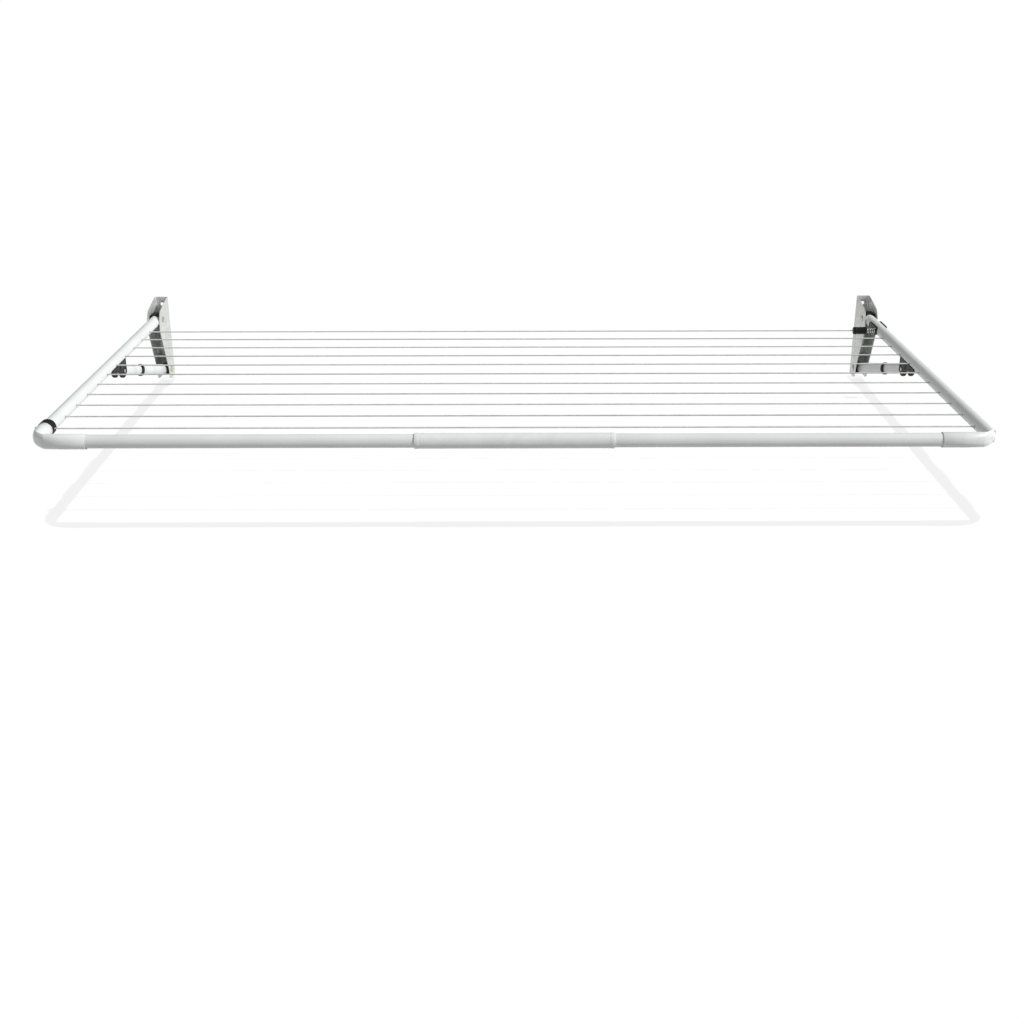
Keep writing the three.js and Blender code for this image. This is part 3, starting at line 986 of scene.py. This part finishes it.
@dataclass
class Cord:
    """One vinyl-covered cord threaded to and fro through both arms, knotted at its end."""

    layout: Layout
    radius: float = 1.8
    knot_radius: float = 4.6
    turn: float = 4.0
    stand_off: float = 0.6

    def route(self) -> list[Vector]:
        """Gives the cord's centre line, from the tensioner to the knot."""
        outside = self.layout.arm_x + self.layout.tube + self.radius + self.stand_off
        steps = 6
        lines = self.layout.lines
        path = [Vector((span("tensioner_grip")[1].x - 14, lines[0], 0))]
        for i in range(1, len(lines)):
            side = -1 if i % 2 else 1
            x = side * (outside - self.turn)
            for y, start in ((lines[i - 1] - self.turn, math.pi / 2), (lines[i] + self.turn, 0)):
                for step in range(steps + 1):
                    angle = start - math.pi / 2 * step / steps
                    path.append(Vector((x + side * self.turn * math.cos(angle),
                                        y + self.turn * math.sin(angle), 0)))
        path.append(Vector((span("line_cord")[0].x + self.knot_radius, lines[-1], 0)))
        return path

    def build(self, shop: Shop) -> None:
        """Makes the cord and its overhand knot."""
        path = self.route()
        length = sum((b - a).length for a, b in zip(path, path[1:]))
        LOG.info("cord: %.2f m", length * MM)
        made = smooth(swept("drying_line", path, self.radius, 14), 60)
        shop.deliver(made, "frame", "cord_vinyl", "line_cord")
        loop: list[Vector] = []
        steps, size = 72, 1.25
        for i in range(steps + 1):
            t = math.tau * i / steps
            loop.append(path[-1] + size * Vector((-math.sin(3 * t) * 1.6, math.sin(t) + 2 * math.sin(2 * t),
                                                  math.cos(t) - 2 * math.cos(2 * t))))
        shop.deliver(smooth(swept("drying_line_knot", loop, self.radius * 0.92, 14), 60), "frame", "cord_vinyl")


# ---------------------------------------------------------------- line tensioner


@dataclass
class Tensioner:
    """The sprung pull that keeps the cord tight, set in the right arm."""

    layout: Layout
    back = -165.0
    front = -252.0
    insert_half = 10.0
    neck_half = 4.5
    flange: float = 11.5
    proud: float = 17.6
    cap_half: float = 12.5

    def build(self, shop: Shop) -> None:
        """Makes the housing, the cap, the spring and the grip."""
        x = self.layout.arm_x
        shop.deliver(self.housing(x), "frame", "black_nylon", "tensioner_housing")
        shop.deliver(self.cap(x), "frame", "black_nylon", "tensioner_cap")
        shop.deliver(self.spring(), "frame", "spring_steel", "tensioner_spring")
        shop.deliver(self.grip(), "tensioner_grip", "black_nylon", "tensioner_grip")

    def saddle(self, x: float) -> bpy.types.Object:
        """Makes the body that hollows a piece to sit on the arm."""
        return bar("saddle", self.layout.tube + GAP, self.front - 12, self.back + 12, Axis.Y, Vector((x, 0, 0)), 96)

    def housing(self, x: float) -> bpy.types.Object:
        """Makes the insert that passes through the arm, with a well for the spring."""
        line = Vector((0, self.layout.lines[0], 0))
        face = x - self.proud
        plate = prism("tensioner_body", oval(self.back + 1.5, self.front - 1.5, self.flange), face, x, Axis.X)
        work(plate, Joining.CUT, self.saddle(x))
        ease_edges(plate, 0.6, 3, 50)
        insert = prism("insert", oval(self.back - GAP, self.front + GAP, self.insert_half), face + 0.6, x + 9.8,
                       Axis.X)
        work(plate, Joining.ADD, insert)
        well = turned("well", [(0, face - 2), (9.6, face - 2), (8.4, face + 1.2), (8.4, x - 8), (0, x - 8)],
                      Axis.X, line, 48)
        work(plate, Joining.CUT, well)
        return smooth(ease_edges(plate, 0.2, 2, 50))

    def cap(self, x: float) -> bpy.types.Object:
        """Makes the rounded saddle on the outer side of the arm."""
        low, high = span("tensioner_cap")
        made = prism("tensioner_outer_cap", oval(high.y, low.y, self.cap_half), x + 8, x + self.proud, Axis.X)
        ease_edges(made, 1.4, 4, 50)
        work(made, Joining.CUT, self.saddle(x))
        return smooth(made, 50)

    def spring(self) -> bpy.types.Object:
        """Makes the coil spring, with a closed turn at each end."""
        low, high = span("tensioner_spring")
        radius, wire, turns, per_turn, closed = 6.4, 0.9, 7.0, 28, 0.9
        start, end = low.x + wire, high.x - wire
        path = []
        for i in range(int(turns * per_turn) + 1):
            turn = i / per_turn
            free = min(max(turn - closed, 0), turns - 2 * closed) / (turns - 2 * closed)
            shut = min(turn, closed) + max(turn - turns + closed, 0)
            x = start + (end - start - 4 * wire) * free + 2 * wire * shut
            angle = math.tau * turn
            path.append(Vector((x, self.layout.lines[0] + radius * math.cos(angle), radius * math.sin(angle))))
        return smooth(swept("tensioner_coil_spring", path, wire, 12), 60)

    def grip(self) -> bpy.types.Object:
        """Makes the round pull, fluted so that fingers hold it, hollow at the back."""
        low, high = span("tensioner_grip")
        radius, bore, cavity, depth = 11.3, 2.3, 7.8, 12.0
        waist, band = radius - 0.7, 7.0
        start, end = low.x + band, high.x - band
        made = turned("tensioner_pull", eased([
            (bore, low.x, 0.6), (radius - 0.6, low.x, 2.4), (radius, start, 0.5), (waist, start + 1.2, 0.3),
            (waist, end - 1.2, 0.3), (radius, end, 0.5), (radius, high.x, 1.6), (cavity, high.x, 0.7),
            (cavity, high.x - depth, 0.5), (bore, high.x - depth, 0)], steps=4),
            Axis.X, Vector((0, self.layout.lines[0], 0)), 72)
        flutes, flute = 18, 1.3
        groove = eased([(0, start + 2.5, 0), (flute, start + 3.5, 0.6), (flute, end - 3.5, 0.6), (0, end - 2.5, 0)])
        tools = []
        for i in range(flutes):
            angle, reach = math.tau * i / flutes, radius + 0.4
            at = Vector((0, self.layout.lines[0] + reach * math.cos(angle), reach * math.sin(angle)))
            tools.append(turned("flute", groove, Axis.X, at, 10))
        work(made, Joining.CUT, *tools)
        return smooth(made, 32)


# ---------------------------------------------------------------- sliders and stays


@dataclass
class Slider:
    """The block that runs under an arm: a saddle, two lobes that straddle the stay, and a release button."""

    layout: Layout
    hand: Hand
    half: float = 17.5
    lobe: float = 19.5
    slot: float = 4.0

    def build(self, shop: Shop) -> None:
        """Makes the block, its rivet heads and its button."""
        word = self.hand.word
        x = self.layout.arm(self.hand)
        low, high = span(f"slider_{word}")
        fork = Vector((0, self.layout.fork.y, self.layout.fork.z - 0.4))
        back = high.y if high.y > -513 else -512.0
        wedge = prism(f"stay_slider_{word}", eased([
            (-512.0, -4, 2), (-512.0, -46, 4), (-560, -33, 8), (low.y, -11, 3), (low.y, -4, 2)]),
            x - self.half, x + self.half, Axis.X)
        ease_edges(wedge, 2.2, 4, 50)
        for side in (-1, 1):
            near, far = sorted((x + side * self.slot, x + side * self.half))
            cheek = bar("cheek", self.lobe, near, far, Axis.X, fork, 64)
            ease_edges(cheek, 4.4, 6, 50)
            work(wedge, Joining.ADD, cheek)
        arm = bar("arm", self.layout.tube + GAP, low.y - 10, back + 25, Axis.Y, Vector((x, 0, 0)), 96)
        gap = block("gap", (x - self.slot, fork.y - 28, -70), (x + self.slot, back + 20, -20))
        button = span(f"release_button_{word}")
        middle = (button[0] + button[1]) / 2
        well = bar("well", 5 + GAP, -40, -18.4, Axis.Z, Vector((x, middle.y, 0)), 40)
        work(wedge, Joining.CUT, arm, gap, well)
        for side in (-1, 1):
            face = x + side * self.half
            near, far = sorted((face - side * 1.2, face + side * 3))
            ring = turned("ring", [(7.2, near), (12.5, near), (12.5, far), (7.2, far)], Axis.X, fork, 48)
            pocket = prism("pocket", eased([(-566, -8.5, 2), (-566, -26, 4), (-628, -11.5, 2), (-628, -8.5, 1)]),
                           near, far, Axis.X)
            work(wedge, Joining.CUT, ring, pocket)
        neck = block("neck", (x - self.slot + GAP, low.y + 10, -17), (x + self.slot - GAP, back - 8, -9))
        head = block("head", (x - 8, low.y + 10, -11.4), (x + 8, back - 8, -6.5))
        work(wedge, Joining.ADD, neck, head)
        shop.deliver(smooth(ease_edges(wedge, 0.25, 2, 55), 35), f"slider_{word}", "black_nylon",
                     f"slider_{word}")
        self.rivet(shop, x, fork)
        press = turned(f"release_press_button_{word}", eased([
            (0, button[0].z + 0.7, 0), (3.2, button[0].z, 0.9), (5, button[0].z + 0.5, 1.0),
            (5, button[1].z, 0.2), (0, button[1].z, 0)]), Axis.Z, Vector((x, middle.y, 0)), 40)
        shop.deliver(smooth(press), f"release_button_{word}", "black_nylon", f"release_button_{word}")

    def rivet(self, shop: Shop, x: float, fork: Vector) -> None:
        """Makes the two heads of the fork pin, which show on the outside of the lobes."""
        word = self.hand.word
        for name, side in (("inner", -self.hand.value), ("outer", self.hand.value)):
            face = x + side * self.half
            profile = [(r, face + side * along) for r, along in eased([
                (0, -0.8, 0), (5.4, -0.8, 0.1), (5.4, 0.5, 0.5), (3.6, 1.2, 0.8), (0, 1.2, 0)])]
            made = smooth(turned(f"fork_rivet_{name}_{word}", profile, Axis.X, fork, 40))
            shop.deliver(made, f"slider_{word}", "zinc_plate")


@dataclass
class Stay:
    """A telescoping prop of oval tube, from the lower pin of a bracket to the slider."""

    layout: Layout
    hand: Hand
    tube_start: float = 17.0
    tube_end: float = 298.0
    rod_start: float = 200.0
    rod_end: float = 466.0
    less: float = 6.5
    tube: float = 16.0
    rod: float = 13.5
    wall: float = 1.5
    slot: float = 4.0

    def tilted(self, made: bpy.types.Object) -> bpy.types.Object:
        """Tilts a piece that lies along -Y from the origin up to the fork, and moves it to the heel pin."""
        x = self.layout.arm(self.hand)
        place = Vector((x, self.layout.heel.y, self.layout.heel.z)) * MM
        made.data.transform(Matrix.Translation(place) @ Matrix.Rotation(-self.layout.tilt(), 4, "X"))
        return made

    def oval(self, name: str, profile: Sequence[Pair]) -> bpy.types.Object:
        """Makes an oval form along -Y from pairs of half height and distance."""
        return narrowed(turned(f"{name}_{self.hand.word}", profile, Axis.Y, sides=80), self.less)

    def build(self, shop: Shop) -> None:
        """Makes every piece of the stay."""
        word = self.hand.word

        def deliver(made: bpy.types.Object, slot: str, node: str) -> None:
            """Tilts a piece and hands it over."""
            shop.deliver(self.tilted(made), f"stay_{word}", slot, f"{node}_{word}")

        start, end = -self.tube_start, -self.tube_end
        fill = self.tube - self.wall - GAP
        plug = self.oval("plug", [(0, start - 26), (fill, start - 26), (fill, start + 1), (0, start + 1)])
        deliver(pivot_eye(f"stay_heel_eye_{word}", start, 0, Vector(), plug), "black_nylon", "stay_eye")
        wide = self.oval("stay_outer_tube", pipe_profile(self.tube, self.tube - self.wall, end, start))
        deliver(smooth(wide), "powder_coat", "stay_tube")
        deliver(self.collar(), "black_nylon", "stay_collar")
        thin = self.oval("stay_inner_tube",
                         pipe_profile(self.rod, self.rod - self.wall, -self.rod_end, -self.rod_start))
        deliver(smooth(thin), "powder_coat", "stay_rod")
        deliver(self.tongue(), "zinc_plate", "stay_tongue")
        half = self.slot - GAP
        pin = turned(f"fork_pin_stub_{word}", eased([(0, -half, 0), (4, -half, 0.4), (4, half, 0.4), (0, half, 0)]),
                     Axis.X, Vector((0, -self.layout.stay_length(), 0)), 40)
        deliver(smooth(pin), "zinc_plate", "fork_pin")

    def collar(self) -> bpy.types.Object:
        """Makes the ring that caps the wide tube and guides the thin one, with a groove round it."""
        bore, radius, mouth, seat = self.rod + GAP, 18.0, -302.0, -286.0
        lip, inside = -self.tube_end - GAP, self.tube - self.wall - GAP
        made = self.oval("stay_collar_ring", eased([
            (bore, mouth, 0.6), (radius, mouth, 1.6), (radius, mouth + 6, 0.5), (radius - 0.8, mouth + 7, 0.4),
            (radius - 0.8, seat - 7, 0.4), (radius, seat - 6, 0.5), (radius, seat, 0.9),
            (self.tube + GAP, seat, 0.1), (self.tube + GAP, lip, 0), (inside, lip, 0),
            (inside, -self.tube_end + 30, 0.3), (bore, -self.tube_end + 30, 0)], steps=4))
        return smooth(made, 35)

    def tongue(self) -> bpy.types.Object:
        """Makes the flat pressed tongue, with a plug in the thin tube and a hole for the fork pin."""
        tip = -self.layout.stay_length()
        radius, root, steps = 11.5, -self.rod_end - 1, 28
        outline = [(root, radius)]
        outline += [(tip - radius * math.sin(a), radius * math.cos(a)) for a in
                    (math.pi * i / steps for i in range(steps + 1))]
        outline.append((root, -radius))
        half = self.slot - GAP
        made = prism(f"stay_fork_tongue_{self.hand.word}", outline, -half, half, Axis.X)
        ease_edges(made, 1.0, 3, 50)
        cap = self.rod - 0.5
        plug = self.oval("plug", eased([(0, -self.rod_end - 4, 0), (cap, -self.rod_end - 4, 1.2),
                                        (cap, -self.rod_end - GAP, 0.1), (0, -self.rod_end - GAP, 0)]))
        fill = self.rod - self.wall - GAP
        stem = self.oval("stem", [(0, root), (fill, root), (fill, root + 31), (0, root + 31)])
        work(made, Joining.ADD, plug, stem)
        work(made, Joining.CUT, bar("hole", 4.3, -10, 10, Axis.X, Vector((0, tip, 0)), 40))
        return smooth(made, 35)


# ---------------------------------------------------------------- studio


@dataclass
class Studio:
    """The camera, the floor and the lights."""

    floor_gap: float = 14.0
    floor_reach: float = 150000.0
    focal: float = 46.67
    sensor: float = 36.0
    eye: tuple[float, float, float] = (-14.25, -4128.15, 994.21)
    pitch: float = 22.084
    yaw: float = 0.1647
    roll: float = 0.0703

    def build(self) -> None:
        """Sets up everything that isn't part of the object."""
        self.camera()
        floor = self.floor()
        self.lights(floor)
        scene = bpy.context.scene
        scene.view_settings.view_transform = "Standard"

    def camera(self) -> None:
        """Places the camera in front of the frame and above it, tilted down."""
        pitch, yaw, roll = (math.radians(a) for a in (self.pitch, self.yaw, self.roll))
        ahead = Vector((math.sin(yaw) * math.cos(pitch), math.cos(yaw) * math.cos(pitch), -math.sin(pitch)))
        right = Vector((math.cos(yaw), -math.sin(yaw), 0))
        down = ahead.cross(right)
        across = right * math.cos(roll) + down * math.sin(roll)
        below = down * math.cos(roll) - right * math.sin(roll)
        turn = Matrix((across, -below, -ahead)).transposed()
        data = bpy.data.cameras.new("camera")
        data.lens, data.sensor_width = self.focal, self.sensor
        data.clip_start, data.clip_end = 0.05, 400
        camera = bpy.data.objects.new("camera", data)
        camera.matrix_world = Matrix.Translation(Vector(self.eye) * MM) @ turn.to_4x4()
        bpy.context.scene.collection.objects.link(camera)
        bpy.context.scene.camera = camera

    def floor(self) -> bpy.types.Object:
        """Makes a plain pale floor just under the brackets, which takes a faint shadow and throws no light."""
        level = CAD_BOX[0].z / MM - self.floor_gap
        reach = self.floor_reach
        corners = [Vector((a * reach, b * reach, level)) for a, b in ((-1, -1), (1, -1), (1, 1), (-1, 1))]
        floor = form("floor", corners, [[0, 1, 2, 3]])
        material = bpy.data.materials.new("studio_floor")
        material.use_nodes = True
        tree = material.node_tree
        tree.nodes.clear()
        shader = add_node(tree, "BsdfPrincipled", {
            "Base Color": tint("#808080"), "Roughness": 1.0, "Specular IOR Level": 0.0,
            "Emission Color": (1, 1, 1, 1), "Emission Strength": 0.81})
        add_node(tree, "OutputMaterial", {"Surface": shader.outputs["BSDF"]})
        floor.data.materials.append(material)
        floor.visible_diffuse = False
        return floor

    def lights(self, floor: bpy.types.Object) -> None:
        """Lights the frame from the right, with a soft light overhead and a dim sky.

        Args:
            floor: The floor, which the side light leaves out.
        """
        side = self.sun("side_light", (0.77, -0.2, 0.6), 2.8, 8)
        top = self.sun("top_light", (0.02, -0.05, 1.0), 1.85, 2)
        for light, name, state in ((side, "side_light_spares", "EXCLUDE"), (top, "top_light_meets", "INCLUDE")):
            group = bpy.data.collections.new(name)
            group.objects.link(floor)
            light.light_linking.receiver_collection = group
            group.collection_objects[0].light_linking.link_state = state
        world = bpy.data.worlds.new("sky")
        bpy.context.scene.world = world
        world.use_nodes = True
        tree = world.node_tree
        tree.nodes.clear()
        dim = add_node(tree, "Background", {"Color": (1, 1, 1, 1), "Strength": 0.36})
        seen = add_node(tree, "Background", {"Color": (1, 1, 1, 1), "Strength": 1.0})
        ray = add_node(tree, "LightPath")
        both = add_node(tree, "MixShader", {0: ray.outputs["Is Camera Ray"], 1: dim.outputs["Background"],
                                            2: seen.outputs["Background"]})
        add_node(tree, "OutputWorld", {"Surface": both.outputs["Shader"]})

    def sun(self, name: str, towards: Sequence[float], strength: float, spread: float) -> bpy.types.Object:
        """Adds a distant light.

        Args:
            name: The light's name.
            towards: The direction from the object to the light.
            strength: Its power in watts per square metre.
            spread: Its width in degrees, which softens its shadows.

        Returns:
            The light.
        """
        data = bpy.data.lights.new(name, "SUN")
        data.energy, data.angle = strength, math.radians(spread)
        light = bpy.data.objects.new(name, data)
        light.rotation_mode = "QUATERNION"
        light.rotation_quaternion = Vector(towards).to_track_quat("Z", "Y")
        bpy.context.scene.collection.objects.link(light)
        return light


def main() -> None:
    """Builds the studio and every piece."""
    logging.basicConfig(level=logging.INFO, format="%(message)s")
    Studio().build()
    layout = Layout.read()
    shop = Shop()
    FrontRail(layout).build(shop)
    Cord(layout).build(shop)
    Tensioner(layout).build(shop)
    for hand in Hand:
        Bracket(layout, hand).build(shop)
        Arm(layout, hand).build(shop)
        Slider(layout, hand).build(shop)
        Stay(layout, hand).build(shop)


if __name__ == "__main__":
    main()
